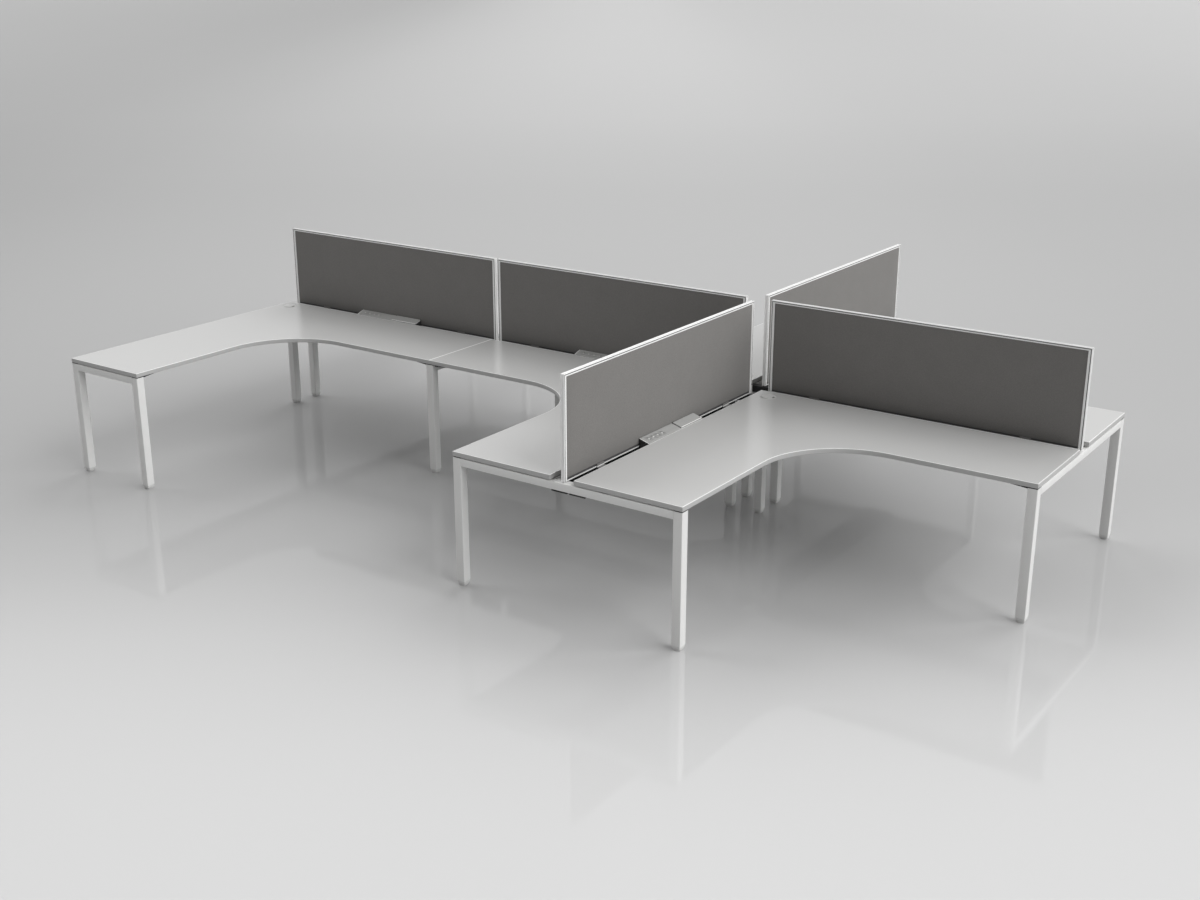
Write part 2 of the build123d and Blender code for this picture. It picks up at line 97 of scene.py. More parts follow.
# Each screen: its middle, and the way it runs
screens = {
    "left": ((-1870, 0), "X"),
    "middle": ((-70, 0), "X"),
    "right": ((1870, 0), "X"),
    "front": ((900, -970), "Y"),
    "back": ((900, 970), "Y"),
}
# Each power unit: the middle of its screen, and the way to its user's left
power_units = {
    "front_left": (-1870, 0, (-1, 0, 0)),
    "front_middle": (-70, 0, (-1, 0, 0)),
    "front_right": (900, -970, (0, -1, 0)),
    "back_left": (-1870, 0, (1, 0, 0)),
    "back_middle": (-70, 0, (1, 0, 0)),
    "back_right": (900, 970, (0, -1, 0)),
}
ways = {"X": Vector((1, 0, 0)), "Y": Vector((0, 1, 0)), "Z": Vector((0, 0, 1))}


# Finishes
cloth_grey = (0.183, 0.177, 0.170)
yarn_pitch = 0.0014


def shader_of(material):
    return material.node_tree.nodes["Principled BSDF"]


def new_finish(name, colour, roughness, metallic=0.0):
    """A material of one colour, and its shader."""
    material = bpy.data.materials.new(name)
    material.use_nodes = True
    shader = shader_of(material)
    shader.inputs["Base Color"].default_value = (*colour, 1)
    shader.inputs["Roughness"].default_value = roughness
    shader.inputs["Metallic"].default_value = metallic
    return material, shader


def node(material, kind, **settings):
    made = material.node_tree.nodes.new(kind)
    for key, value in settings.items():
        setattr(made, key, value)
    return made


def link(material, source, target):
    material.node_tree.links.new(source, target)


def object_place(material, stretch=(1, 1, 1)):
    """Object coordinates, stretched so that a pattern can run along a member."""
    coordinates = node(material, "ShaderNodeTexCoord")
    mapping = node(material, "ShaderNodeMapping")
    mapping.inputs["Scale"].default_value = stretch
    link(material, coordinates.outputs["Object"], mapping.inputs["Vector"])
    return mapping.outputs["Vector"]


def distance_along(material, place, direction):
    """How far a place lies along a direction."""
    product = node(material, "ShaderNodeVectorMath", operation="DOT_PRODUCT")
    product.inputs[1].default_value = direction
    link(material, place, product.inputs[0])
    return product.outputs["Value"]


def reckon(material, operation, *parts):
    """Works one sum out of patterns and plain numbers."""
    made = node(material, "ShaderNodeMath", operation=operation)
    for part, target in zip(parts, made.inputs):
        if isinstance(part, float):
            target.default_value = part
        else:
            link(material, part, target)
    return made.outputs["Value"]


def noise(material, place, scale, detail):
    texture = node(material, "ShaderNodeTexNoise")
    texture.inputs["Scale"].default_value = scale
    texture.inputs["Detail"].default_value = detail
    link(material, place, texture.inputs["Vector"])
    return texture.outputs["Fac"]


def spread(material, value, low, high, start=0.15, end=0.85):
    """Turns a pattern into a value that runs from low to high."""
    spreader = node(material, "ShaderNodeMapRange")
    for key, number in (("From Min", start), ("From Max", end), ("To Min", low), ("To Max", high)):
        spreader.inputs[key].default_value = number
    link(material, value, spreader.inputs["Value"])
    return spreader.outputs["Result"]


def two_tone(material, value, dark, pale):
    """Mixes two colours by a pattern."""
    mixer = node(material, "ShaderNodeMix", data_type="RGBA")
    mixer.inputs["A"].default_value = (*dark, 1)
    mixer.inputs["B"].default_value = (*pale, 1)
    link(material, value, mixer.inputs["Factor"])
    return mixer.outputs["Result"]


def grain(material, shader, height, distance, strength=1.0):
    """Raises the surface by a pattern, by a real depth in metres."""
    bump = node(material, "ShaderNodeBump")
    bump.inputs["Distance"].default_value = distance
    bump.inputs["Strength"].default_value = strength
    link(material, height, bump.inputs["Height"])
    link(material, bump.outputs["Normal"], shader.inputs["Normal"])


def shade(colour, factor):
    return tuple(min(1.0, part * factor) for part in colour)


def mottled_finish(name, colour, roughness, blotch, fine, depth, change, metallic=0.0, stretch=(1, 1, 1)):
    """A hard finish: faint blotches of colour and gloss, and a fine grain."""
    material, shader = new_finish(name, colour, roughness, metallic)
    place = object_place(material, stretch)
    clouds = noise(material, place, blotch, 3.0)
    tone = spread(material, clouds, 0.0, 1.0)
    tones = two_tone(material, tone, shade(colour, 1 - change), shade(colour, 1 + change))
    gloss = spread(material, clouds, roughness - 0.04, roughness + 0.04)
    link(material, tones, shader.inputs["Base Color"])
    link(material, gloss, shader.inputs["Roughness"])
    grain(material, shader, noise(material, place, fine, 1.0), depth)
    return material


def cloth_finish(name, run):
    """Plain woven cloth: warp and weft cross, with thicker and paler yarns here and there."""
    material, shader = new_finish(name, cloth_grey, 0.92)
    shader.inputs["Sheen Weight"].default_value = 0.25
    shader.inputs["Sheen Roughness"].default_value = 0.5
    shader.inputs["Specular IOR Level"].default_value = 0.2
    along = (1, 0, 0) if run == "X" else (0, 1, 0)
    place = node(material, "ShaderNodeTexCoord").outputs["Object"]
    waves = []
    for direction in (along, (0, 0, 1)):
        distance = distance_along(material, place, direction)
        turns = reckon(material, "MULTIPLY", distance, 2 * math.pi / yarn_pitch)
        waves.append(reckon(material, "SINE", turns))
    weave = reckon(material, "MULTIPLY", *waves)
    slubs = noise(material, place, 260.0, 2.0)
    clouds = noise(material, place, 9.0, 3.0)
    yarns = reckon(material, "MULTIPLY_ADD", weave, 0.18, slubs)
    tone = reckon(material, "MULTIPLY_ADD", clouds, 0.25, yarns)
    worn = spread(material, tone, 0.0, 1.0, 0.3, 0.95)
    colour = two_tone(material, worn, shade(cloth_grey, 0.86), shade(cloth_grey, 1.14))
    link(material, colour, shader.inputs["Base Color"])
    grain(material, shader, yarns, 0.0004, 0.6)
    return material


def lacquer(material, weight, roughness):
    """Puts a clear coat on a finish, the same all over."""
    shader = shader_of(material)
    shader.inputs["Coat Weight"].default_value = weight
    shader.inputs["Coat Roughness"].default_value = roughness
    shader.inputs["Coat IOR"].default_value = 1.5


# After the colour: roughness, blotches in a metre, grains in a metre, the grain's depth in metres,
# and how far the tone strays
laminate = mottled_finish("laminate", (0.635, 0.635, 0.628), 0.42, 1.4, 1400.0, 0.000002, 0.006)
# The sides of the edge strips: painted shade, a darker tone than the board's own; their upward faces take
# the pale painted highlight
edge_painted_shade = mottled_finish("edge_painted_shade", (0.46, 0.46, 0.455), 0.42, 6.0, 1100.0, 0.00001, 0.01)
powder_coat = mottled_finish("powder_coat", (0.78, 0.78, 0.77), 0.36, 5.0, 620.0, 0.00003, 0.012)
foot_coat = mottled_finish("foot_coat", (0.70, 0.70, 0.69), 0.42, 30.0, 800.0, 0.00006, 0.03)
# Grooves and waists: painted shade, a dark tone standing in for the shade in the recesses
groove_painted_shade = mottled_finish("groove_painted_shade", (0.09, 0.09, 0.09), 0.55, 12.0, 700.0, 0.00003, 0.08)
# Rims, lips and bands: painted highlight, a pale tone standing in for the light that edges and upward faces
# catch
rim_painted_highlight = mottled_finish("rim_painted_highlight", (0.90, 0.90, 0.895), 0.35, 6.0, 1100.0, 0.00001, 0.006)
# Screen shoes: painted shade, a dark grey so that they sit in the shade of the channel
shoe_painted_shade = mottled_finish("shoe_painted_shade", (0.19, 0.187, 0.182), 0.50, 12.0, 620.0, 0.00005, 0.04)
# Dark coat of the brackets and trays; on the links in the crossing it is painted shade
dark_coat_and_painted_shade = mottled_finish("dark_coat_and_painted_shade", (0.035, 0.035, 0.036), 0.45, 12.0, 700.0, 0.00005, 0.12)
rubber = mottled_finish("rubber", (0.028, 0.028, 0.028), 0.75, 40.0, 900.0, 0.00005, 0.1)
unit_plastic = mottled_finish("unit_plastic", (0.38, 0.38, 0.372), 0.45, 15.0, 1800.0, 0.00004, 0.03)
lid_plastic = mottled_finish("lid_plastic", (0.38, 0.38, 0.373), 0.48, 15.0, 1800.0, 0.00004, 0.03)
# Lid lip and end strips: painted highlight along the unit's edges
lip_painted_highlight = mottled_finish("lip_painted_highlight", (0.86, 0.86, 0.85), 0.38, 15.0, 1800.0, 0.00003, 0.02)
socket_plastic = mottled_finish("socket_plastic", (0.42, 0.42, 0.412), 0.30, 60.0, 900.0, 0.00001, 0.02)
shutter_plastic = mottled_finish("shutter_plastic", (0.86, 0.86, 0.84), 0.25, 60.0, 900.0, 0.00001, 0.01)
# Black plastic; in the socket slots it is painted shade
black_plastic_and_painted_shade = mottled_finish("black_plastic_and_painted_shade", (0.03, 0.03, 0.03), 0.40, 60.0, 1200.0, 0.00002, 0.1)
grommet_plastic = mottled_finish("grommet_plastic", (0.66, 0.66, 0.65), 0.36, 30.0, 1500.0, 0.00002, 0.015)
zinc = mottled_finish("zinc", (0.62, 0.62, 0.63), 0.32, 90.0, 1500.0, 0.00001, 0.06, metallic=1.0)
contact_metal = mottled_finish(
    "contact_metal", (0.78, 0.62, 0.30), 0.25, 90.0, 1500.0, 0.000005, 0.05, metallic=1.0
)
# The coat of drawn lengths, its pattern stretched along the way they run
drawn_coat = {}
for run, stretch in (("X", (0.06, 1, 1)), ("Y", (1, 0.06, 1)), ("Z", (1, 1, 0.06))):
    drawn_coat[run] = mottled_finish(
        f"drawn_coat_{run.lower()}", (0.88, 0.88, 0.872), 0.33, 60.0, 900.0, 0.00001, 0.012, stretch=stretch
    )
cloth = {run: cloth_finish(f"cloth_{run.lower()}", run) for run in ("X", "Y")}
lacquer(laminate, 1.0, 0.16)
lacquer(rim_painted_highlight, 0.5, 0.15)
for dull in (dark_coat_and_painted_shade, groove_painted_shade):
    shader_of(dull).inputs["Specular IOR Level"].default_value = 0.2

# The CAD's own nodes, by the start of their names
node_finishes = {
    "worktop": laminate,
    "edge_banding": edge_painted_shade,
    "leg_tubes": powder_coat,
    "foot": foot_coat,
    "frame_rails": powder_coat,
    "desk_beams": powder_coat,
    "wing_brackets": dark_coat_and_painted_shade,
    "rail_pads": rubber,
    "cable_trays": dark_coat_and_painted_shade,
    "screen_frame": drawn_coat["X"],
    "screen_panel": cloth["X"],
    "screen_shoes": powder_coat,
    "power_housings": unit_plastic,
    "power_sockets": socket_plastic,
    "power_lid": lid_plastic,
    "data_jacks": black_plastic_and_painted_shade,
    "power_inlets": black_plastic_and_painted_shade,
    "grommet_sleeves": grommet_plastic,
    "grommet_cap": grommet_plastic,
}
for node_name, cad_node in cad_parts.items():
    kind = next(key for key in node_finishes if node_name.startswith(key))
    for holder in cad_node.material_slots:
        holder.link = "OBJECT"
        holder.material = node_finishes[kind]


# Making shapes
def add_piece(name, shape, finishes, body=desk_body, replaced=(), sharp=40):
    """Turns a shape in millimetres into a piece of the object, and joins it to its body."""
    bmesh.ops.scale(shape, vec=(0.001, 0.001, 0.001), verts=shape.verts)
    bmesh.ops.remove_doubles(shape, verts=shape.verts, dist=0.000002)
    mesh = bpy.data.meshes.new(name)
    shape.to_mesh(mesh)
    shape.free()
    for finish in finishes:
        mesh.materials.append(finish)
    mesh.shade_smooth()
    mesh.set_sharp_from_angle(angle=math.radians(sharp))
    piece = bpy.data.objects.new(name, mesh)
    bpy.context.scene.collection.objects.link(piece)
    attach(piece, body)
    if replaced:
        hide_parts(*replaced)
    return piece


def put(target, source, *places, tint=0):
    """Adds a copy of a shape to another shape at each place, its finishes moved on by tint."""
    pattern = bpy.data.meshes.new("pattern")
    source.to_mesh(pattern)
    for place in places:
        copy = pattern.copy()
        copy.transform(place)
        for face in copy.polygons:
            face.material_index += tint
        target.from_mesh(copy)
        bpy.data.meshes.remove(copy)
    bpy.data.meshes.remove(pattern)


def at(x, y, z=0.0, turn=0.0):
    return Matrix.Translation((x, y, z)) @ Matrix.Rotation(math.radians(turn), 4, "Z")


def turn_about(axis, degrees):
    return Matrix.Rotation(math.radians(degrees), 4, axis)


def facing(origin, out, along):
    """A place whose Z points along a member and whose Y points out of it."""
    side = out.cross(along)
    matrix = Matrix((side, out, along)).transposed().to_4x4()
    return Matrix.Translation(origin) @ matrix


def lift(shape, height):
    bmesh.ops.translate(shape, vec=(0, 0, height), verts=shape.verts[:])


def face_outwards(shape):
    """Turns every face of one solid to its outside."""
    bmesh.ops.recalc_face_normals(shape, faces=shape.faces[:])
    if shape.calc_volume(signed=True) < 0:
        bmesh.ops.reverse_faces(shape, faces=shape.faces[:])


def open_edges(shape):
    return [edge for edge in shape.edges if edge.is_boundary]


def close_holes(shape):
    bmesh.ops.holes_fill(shape, edges=open_edges(shape), sides=0)


def cut_through(shape, spot, normal, clear_outer=False):
    """Splits a shape's faces along a plane, and can take away what lies beyond it."""
    everything = shape.verts[:] + shape.edges[:] + shape.faces[:]
    bmesh.ops.bisect_plane(
        shape, geom=everything, dist=0.0001, plane_co=spot, plane_no=normal, clear_outer=clear_outer
    )


def parts_of(geometry, kind):
    return [part for part in geometry if isinstance(part, kind)]


def edges_of(verts):
    """The edges that meet some verts, each once and always in the same order."""
    return list(dict.fromkeys(edge for vert in verts for edge in vert.link_edges))


def rounded(shape, verts, radius, steps):
    bmesh.ops.bevel(
        shape, geom=verts, offset=radius, offset_type="OFFSET", segments=steps, profile=0.5,
        affect="VERTICES", material=-1,
    )


def soften(shape, radius, steps=2, angle=30, keep=None):
    """Rounds every edge that turns by more than an angle, or those of them that a test keeps."""
    limit = math.radians(angle)
    chosen = [
        edge for edge in shape.edges
        if len(edge.link_faces) == 2 and edge.calc_face_angle(0) > limit and (keep is None or keep(edge))
    ]
    bmesh.ops.bevel(
        shape, geom=chosen, offset=radius, offset_type="OFFSET", segments=steps, profile=0.5,
        affect="EDGES", clamp_overlap=True, material=-1,
    )


def raise_faces(shape, faces, height):
    """Extrudes faces by a vector."""
    made = bmesh.ops.extrude_face_region(shape, geom=faces)["geom"]
    bmesh.ops.translate(shape, vec=height, verts=parts_of(made, bmesh.types.BMVert))


def press_faces(shape, faces, depth):
    """Sinks faces into a solid by a vector."""
    raise_faces(shape, faces, depth)
    bmesh.ops.delete(shape, geom=faces, context="FACES")


def flat_shape(corners, radii=None, steps=4):
    """A flat face, with its corners rounded where a radius is given."""
    shape = bmesh.new()
    verts = [shape.verts.new((x, y, 0)) for x, y in corners]
    shape.faces.new(verts)
    if radii:
        groups = {}
        for vert, radius in zip(verts, radii):
            groups.setdefault(radius, []).append(vert)
        for radius, group in groups.items():
            if radius:
                rounded(shape, group, radius, steps)
    return shape


def prism(corners, height, radii=None, steps=4, edge=0.0, edge_steps=2):
    """A solid that stands on a flat outline, with softened rims."""
    shape = flat_shape(corners, radii, steps)
    raise_faces(shape, shape.faces[:], (0, 0, height))
    face_outwards(shape)
    if edge:
        soften(shape, edge, edge_steps, 60)
    return shape


def block(size, edge=0.0, steps=2):
    """A block around its own middle, with softened edges."""
    shape = bmesh.new()
    bmesh.ops.create_cube(shape, size=1.0)
    bmesh.ops.scale(shape, vec=size, verts=shape.verts)
    if edge:
        soften(shape, edge, steps)
    return shape


def rectangle(width, depth):
    a, b = width / 2, depth / 2
    return [(-a, -b), (a, -b), (a, b), (-a, b)]


def hollow_out(shape, wall):
    """Takes the middle out of a flat shape, so that a rim of even width stays."""
    inner = shape.faces[:]
    bmesh.ops.inset_region(shape, faces=inner, thickness=wall, use_boundary=True, use_even_offset=True)
    bmesh.ops.delete(shape, geom=inner, context="FACES")


def square_tube(width, height, length, wall, corner, steps=4):
    """A square tube around its own middle, along Z, with rounded corners and open ends."""
    shape = flat_shape(rectangle(width, height), [corner] * 4, steps)
    hollow_out(shape, wall)
    raise_faces(shape, shape.faces[:], (0, 0, length))
    lift(shape, -length / 2)
    face_outwards(shape)
    return shape


def loop(shape, height, width=None, corner=None, radius=None, steps=5):
    """A ring of edges: a rounded square or a circle of the same number of points."""
    if radius is not None:
        points = 4 * (steps + 1)
        made = bmesh.ops.create_circle(shape, segments=points, radius=radius)["verts"]
        bmesh.ops.rotate(shape, verts=made, matrix=Matrix.Rotation(math.pi / points, 3, "Z"))
    else:
        outline = flat_shape(rectangle(width, width), [corner] * 4, steps)
        before = set(shape.verts)
        put(shape, outline, Matrix.Identity(4))
        outline.free()
        made = [vert for vert in shape.verts if vert not in before]
        filled = list(dict.fromkeys(face for vert in made for face in vert.link_faces))
        bmesh.ops.delete(shape, geom=filled, context="FACES_ONLY")
    bmesh.ops.translate(shape, vec=(0, 0, height), verts=made)
    return edges_of(made)


def skin(loops, close_low=True, close_high=True):
    """Skins a stack of loops, each given as the settings of loop()."""
    shape = bmesh.new()
    rings = [loop(shape, **settings) for settings in loops]
    for low, high in zip(rings, rings[1:]):
        bmesh.ops.bridge_loops(shape, edges=low + high)
    if close_low:
        bmesh.ops.contextual_create(shape, geom=rings[0])
    if close_high:
        bmesh.ops.contextual_create(shape, geom=rings[-1])
    face_outwards(shape)
    return shape


def spun(profile, steps, closed=False):
    """Spins a line of (radius, height) points round Z."""
    shape = bmesh.new()
    verts = [shape.verts.new((radius, 0, height)) for radius, height in profile]
    pairs = list(zip(verts, verts[1:])) + ([(verts[-1], verts[0])] if closed else [])
    edges = [shape.edges.new(pair) for pair in pairs]
    bmesh.ops.spin(
        shape, geom=verts + edges, cent=(0, 0, 0), axis=(0, 0, 1), angle=2 * math.pi, steps=steps,
        use_merge=True, use_normal_flip=False, use_duplicate=False,
    )
    bmesh.ops.remove_doubles(shape, verts=shape.verts, dist=0.001)
    face_outwards(shape)
    return shape


def threaded_stem(radius, pitch, turns, steps=16):
    """A screw thread: a zigzag line spun round while it climbs by one pitch a turn."""
    shape = bmesh.new()
    depth = 0.55 * pitch
    verts = []
    for turn in range(2 * turns + 1):
        verts.append(shape.verts.new((radius - (turn % 2) * depth, 0, turn * pitch / 2)))
    edges = [shape.edges.new(pair) for pair in zip(verts, verts[1:])]
    bmesh.ops.spin(
        shape, geom=verts + edges, cent=(0, 0, 0), axis=(0, 0, 1), dvec=(0, 0, pitch / steps),
        angle=2 * math.pi, steps=steps, use_merge=False, use_normal_flip=False, use_duplicate=False,
    )
    bmesh.ops.remove_doubles(shape, verts=shape.verts, dist=0.01)
    close_holes(shape)
    face_outwards(shape)
    return shape


def socket_screw(radius, height):
    """A round-headed screw with a six-sided recess, its seat at zero."""
    shape = skin(
        [
            {"height": 0.0, "radius": radius},
            {"height": 0.35 * height, "radius": radius},
            {"height": 0.8 * height, "radius": 0.85 * radius},
            {"height": height, "radius": 0.6 * radius},
        ],
        close_high=False,
    )
    rim = open_edges(shape)
    recess = bmesh.ops.create_circle(shape, segments=6, radius=0.42 * radius)["verts"]
    bmesh.ops.translate(shape, vec=(0, 0, height), verts=recess)
    mouth = edges_of(recess)
    bmesh.ops.bridge_loops(shape, edges=rim + mouth)
    sunk = bmesh.ops.extrude_edge_only(shape, edges=mouth)["geom"]
    bmesh.ops.translate(shape, vec=(0, 0, -0.6 * height), verts=parts_of(sunk, bmesh.types.BMVert))
    bmesh.ops.contextual_create(shape, geom=parts_of(sunk, bmesh.types.BMEdge))
    face_outwards(shape)
    return shape


# Worktops: edge strips
strip_width = 2.0
strip_rise = 0.2
strip_rounding = 1.9
flange_width = 2.4
flange_height = 0.18
flange_gap = 0.02
curve_steps = 24


def desk_outline(desk, inset=0.0):
    x, y, way_x, way_y, length = desk
    depth = desk_depth - inset
    end = return_length - inset
    spots = [
        (inset, inset), (length - inset, inset), (length - inset, depth), (depth, depth),
        (depth, end), (inset, end),
    ]
    return [(x + way_x * u, y + way_y * v) for u, v in spots]


def away_from_edge(spot, desk):
    """How far inside the board's outline a spot lies."""
    x, y, way_x, way_y, length = desk
    u = (spot.x - x) * way_x
    v = (spot.y - y) * way_y
    inside = min(u, v, length - u, return_length - v)
    if u < curve_middle and v < curve_middle and (u > desk_depth or v > desk_depth):
        return min(inside, math.hypot(curve_middle - u, curve_middle - v) - curve_radius)
    if u > desk_depth:
        return min(inside, desk_depth - v)
    if v > desk_depth:
        return min(inside, desk_depth - u)
    return inside


def on_outer_rim(edge, desk):
    """Whether a level edge of a strip borders the strip's outer side."""
    if edge.verts[0].co.z != edge.verts[1].co.z:
        return False
    for face in edge.link_faces:
        middle = face.calc_center_median()
        upright = abs(face.normal.z) < 0.1
        if upright and away_from_edge(middle, desk) < away_from_edge(middle - face.normal, desk):
            return True
    return False


def edge_ring(desk, inset, width, height):
    """A ring of even width along a board's outline, standing on zero."""
    radii = [0, 0, 0, curve_radius + inset, 0, 0]
    ring = flat_shape(desk_outline(desk, inset), radii, curve_steps)
    hollow_out(ring, width)
    raise_faces(ring, ring.faces[:], (0, 0, height))
    face_outwards(ring)
    return ring


strips = bmesh.new()
for desk in desks.values():
    strip = edge_ring(desk, 0.0, strip_width, board_top - board_low + strip_rise)
    soften(strip, strip_rounding, 4, 57, keep=lambda edge: on_outer_rim(edge, desk))
    put(strips, strip, at(0, 0, board_low))
    flange = edge_ring(desk, strip_width + flange_gap, flange_width, flange_height)
    put(strips, flange, at(0, 0, board_top + flange_gap))
    strip.free()
    flange.free()
# Upward faces take the painted highlight, the sides the painted shade
for face in strips.faces:
    face.material_index = 1 if face.normal.z > 0.15 else 0
add_piece("edge_strips", strips, [edge_painted_shade, rim_painted_highlight], replaced=["edge_banding"])

# Legs, rails and beams
leg_low = 25
leg_wall = 2.5
leg_corner = 3.2
plate_low = 26.0
plate_high = 30.0
plate_edge = {"width": 44.9, "corner": 0.6}
plate_hole = {"radius": 5.5}
tube_size = 40
tube_wall = 2
tube_corner = 2.4
end_gap = 0.2

leg = square_tube(leg_size, leg_size, frame_top - leg_low, leg_wall, leg_corner)
lift(leg, (frame_top + leg_low) / 2)
leg_foot_plate = skin(
    [
        {"height": plate_low, **plate_hole},
        {"height": plate_low, **plate_edge},
        {"height": plate_high, **plate_edge},
        {"height": plate_high, **plate_hole},
        {"height": plate_low, **plate_hole},
    ],
    close_low=False,
    close_high=False,
)
tubes = bmesh.new()
for part in (leg, leg_foot_plate):
    put(tubes, part, *[at(*spot) for spot in legs.values()])
add_piece("legs", tubes, [powder_coat], replaced=["leg_tubes"])


def add_tube(target, width, length, x, y, run, tint=0):
    """Adds a tube that runs along X or Y under the worktops."""
    tube = square_tube(width, tube_size, length - end_gap, tube_wall, tube_corner, 3)
    put(target, tube, facing(Vector((x, y, rail_middle)), ways["Z"], ways[run]), tint=tint)
    tube.free()


# Each end rail: its middle, the way it runs and its length
end_rails = [
    (-2470, -1845, "X", 500), (-2470, 1845, "X", 500), (900, -1845, "X", 1240), (900, 1845, "X", 1240),
    (-970, 0, "Y", 1240), (2745, 0, "Y", 1240),
]
# Each link across the channel: its middle and the way it runs
links = [(-2745, 0, "Y"), (805, 0, "Y"), (995, 0, "Y"), (900, -95, "X"), (900, 95, "X")]
rails = bmesh.new()
for x, y, run, length in end_rails:
    add_tube(rails, leg_size, length, x, y, run)
for x, y, run in links:
    # The links in the crossing take the dark coat: painted shade standing in for the shade deep in the
    # channel
    add_tube(rails, tube_size, 2 * half_channel, x, y, run, tint=1 if x > 0 else 0)
add_piece("rails", rails, [powder_coat, dark_coat_and_painted_shade], replaced=["frame_rails"])

# Each beam along the spine: its middle and its length
beam_runs = [(-1857.5, 1725), (-82.5, 1725), (1857.5, 1675)]
beam_line = 90
return_lines = (-2750, 810, 990)
return_middle = 970
return_beam = 1700
beams = bmesh.new()
for side in (-1, 1):
    for middle, length in beam_runs:
        add_tube(beams, tube_size, length, middle, side * beam_line, "X")
    for line in return_lines:
        add_tube(beams, tube_size, return_beam, line, side * return_middle, "Y")
add_piece("beams", beams, [powder_coat], replaced=["desk_beams"])

# Levelling feet
stem_low = 24.2
stem_high = 79.0
foot_shape = skin(
    [
        {"height": 0.0, "width": 38.2, "corner": 9.6},
        {"height": 1.0, "width": 39.8, "corner": 10.0},
        {"height": 12.8, "width": 46.2, "corner": 5.4},
        {"height": 14.0, "width": 47.0, "corner": 4.8},
        {"height": 24.0, "width": 47.0, "corner": 4.6},
        {"height": 24.7, "width": 45.8, "corner": 4.0},
    ]
)
stem = threaded_stem(radius=4.9, pitch=1.5, turns=14)
stem_core = skin([{"height": height, "radius": 4.0} for height in (stem_low, stem_high)])
for leg_name, spot in legs.items():
    foot = bmesh.new()
    put(foot, foot_shape, at(*spot))
    put(foot, stem, at(*spot, stem_low), tint=1)
    put(foot, stem_core, at(*spot), tint=1)
    add_piece(
        f"levelling_foot_{leg_name}", foot, [foot_coat, zinc], f"foot_{leg_name}",
        [f"foot_{leg_name}"],
    )

# Wing brackets
wing_low = frame_top + 0.1
wing_thickness = 4.8
web_thickness = 3.8
wing_plate = prism(rectangle(46, 46), wing_thickness, edge=0.6)
wing_arm = prism([(20, -19), (139, -8), (139, 8), (20, 19)], wing_thickness, [0, 6, 6, 0], 4, 0.6)
for part in (wing_plate, wing_arm):
    lift(part, wing_low)
web_outline = [(25.4, 690.4), (139, 690.4), (139, 688), (25.4, 678)]
wing_web = prism(web_outline, web_thickness, [0, 0, 1, 3], 3, 0.5)
lift(wing_web, -web_thickness / 2)
bmesh.ops.rotate(wing_web, verts=wing_web.verts, matrix=Matrix.Rotation(math.pi / 2, 3, "X"))
wing_screw = socket_screw(4.2, 2.6)
wing_screw_spots = [(62, 8.5), (62, -8.5), (118, 5.6), (118, -5.6)]
brackets = bmesh.new()
for leg_name, turns in wing_turns.items():
    put(brackets, wing_plate, at(*legs[leg_name]))
    for turn in turns:
        place = at(*legs[leg_name], turn=turn)
        put(brackets, wing_arm, place)
        put(brackets, wing_web, place)
        seats = [place @ at(u, v, wing_low) @ turn_about("X", 180) for u, v in wing_screw_spots]
        put(brackets, wing_screw, *seats, tint=1)
add_piece("wings", brackets, [dark_coat_and_painted_shade, zinc], replaced=["wing_brackets"])

# Screens
screen_low = 695.0
screen_high = 1225.0
screen_length = 1780.0
half_screen = 11.0
post_face = 20.0
rail_face = 15.5
slot_half = 4
slot_depth = 3
groove_low = 4.2
groove_high = 8.2
groove_floor = 7.8
mitre_gap = 0.12
lip_height = 7.0
waist = 6.5
panel_low = 711.0
panel_high = screen_high - rail_face - 0.2
panel_thickness = 17.2
panel_rounding = 3.5
panel_crown = 0.35
# Which of the edging's finishes carry the painted shade of the grooves and the painted highlight of the
# rims
painted_shade_index = 1
painted_highlight_index = 2


def mirrored_section(half, radii):
    """A closed outline from its right half, and the radii of its corners."""
    return half + [(-x, y) for x, y in reversed(half)], radii + radii[::-1]


def grooved_section(face):
    """The frame's section: a slot in its outer edge, a groove along each side and a step for the panel."""
    half = [
        (slot_half, slot_depth), (slot_half, 0), (half_screen, 0),
        (half_screen, groove_low), (groove_floor, groove_low), (groove_floor, groove_high),
        (half_screen, groove_high), (half_screen, face - 2), (half_screen - 1, face - 2),
        (half_screen - 1, face),
    ]
    return mirrored_section(half, [0, 0.4, 1.2, 0.3, 0, 0, 0.3, 0.4, 0, 0.3])


def frame_member(section, length, cuts):
    """One length of the frame along Z, its outer edge on Y = 0, each end square or on a mitre."""
    shape = flat_shape(*section, 3)
    raise_faces(shape, shape.faces[:], (0, 0, length))
    lift(shape, -length / 2)
    for way, slant in cuts:
        end = (0, 0, way * (length / 2 - mitre_gap))
        cut_through(shape, end, (0, slant[0], way * slant[1]), clear_outer=True)
        close_holes(shape)
    face_outwards(shape)
    # Groove faces take the painted shade; the outer edge and its lip take the painted highlight
    for face in shape.faces:
        spot = face.calc_center_median()
        if abs(face.normal.z) > 0.3:
            continue
        beside_groove = groove_low - 0.2 < spot.y < groove_high + 0.2
        if beside_groove and groove_floor - 0.8 < abs(spot.x) < half_screen - 0.5:
            face.material_index = painted_shade_index
        elif spot.y < groove_low + 0.1:
            face.material_index = painted_highlight_index
    return shape


def covered_board():
    """The panel: a board with cloth drawn round its edges, very slightly crowned."""
    length = screen_length - 2 * post_face - 0.4
    height = panel_high - panel_low
    shape = block((length, panel_thickness, height), panel_rounding, 4)
    for span, cuts in ((length, 24), (height, 8)):
        edges = [edge for edge in shape.edges if edge.calc_length() > 0.6 * span]
        bmesh.ops.subdivide_edges(shape, edges=edges, cuts=cuts, use_grid_fill=True)
    for vert in shape.verts:
        if abs(vert.co.y) > panel_thickness / 2 - 0.1:
            across = math.cos(math.pi * vert.co.x / screen_length)
            upwards = math.cos(math.pi * vert.co.z / (height + 12))
            vert.co.y += math.copysign(panel_crown * max(across * upwards, 0), vert.co.y)
    return shape
